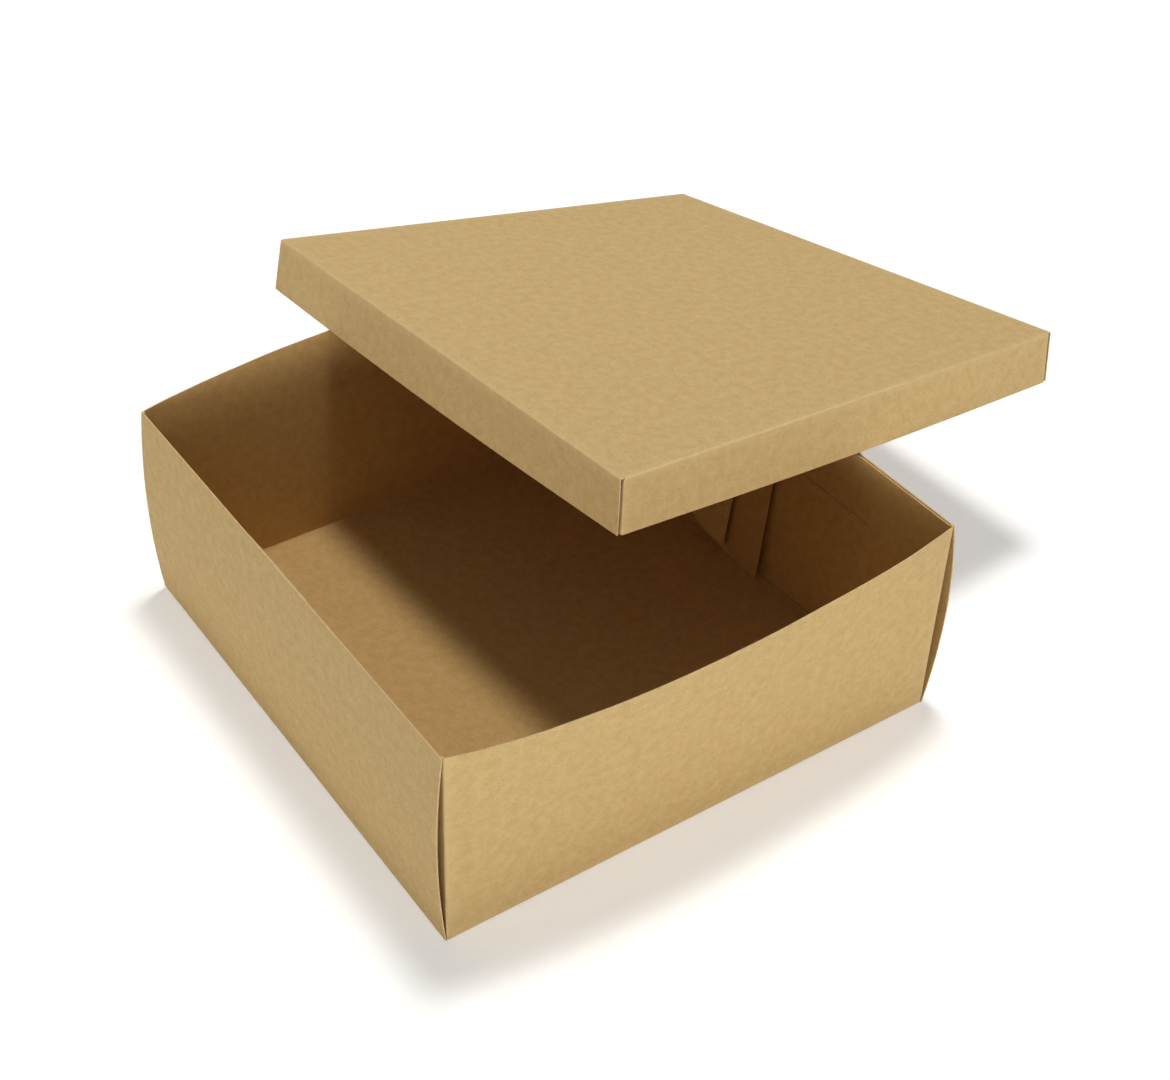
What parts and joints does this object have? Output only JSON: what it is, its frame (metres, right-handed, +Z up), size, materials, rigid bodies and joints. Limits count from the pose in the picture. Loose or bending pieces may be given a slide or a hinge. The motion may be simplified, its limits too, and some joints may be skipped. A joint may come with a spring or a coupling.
{
  "type": "cake box",
  "caption": "Square folded kraft board tray with bowed rims and locked inner flaps, and a shallow loose lid resting ajar on it, for carrying a cake.",
  "frame": {"origin": "centre of the tray's underside, on the surface it stands on", "axes": "+X along the front wall towards the corner the lid slides over, +Y from the front wall to the back wall, +Z up"},
  "size_m": [0.3845, 0.3479, 0.1432],
  "materials": {
    "tray_board": "uncoated brown kraft paperboard with a fine fibre fleck",
    "lid_board": "uncoated brown kraft paperboard with a fine fibre fleck"
  },
  "bodies": {
    "tray": {"base_tray": "tray_board"},
    "lid": {"lid": "lid_board"}
  },
  "joints": [
    {"name": "lid_lift", "type": "slide", "parent": "tray", "child": "lid", "axis": [0, 0, 1], "range_m": [0, 0.15]}
  ]
}
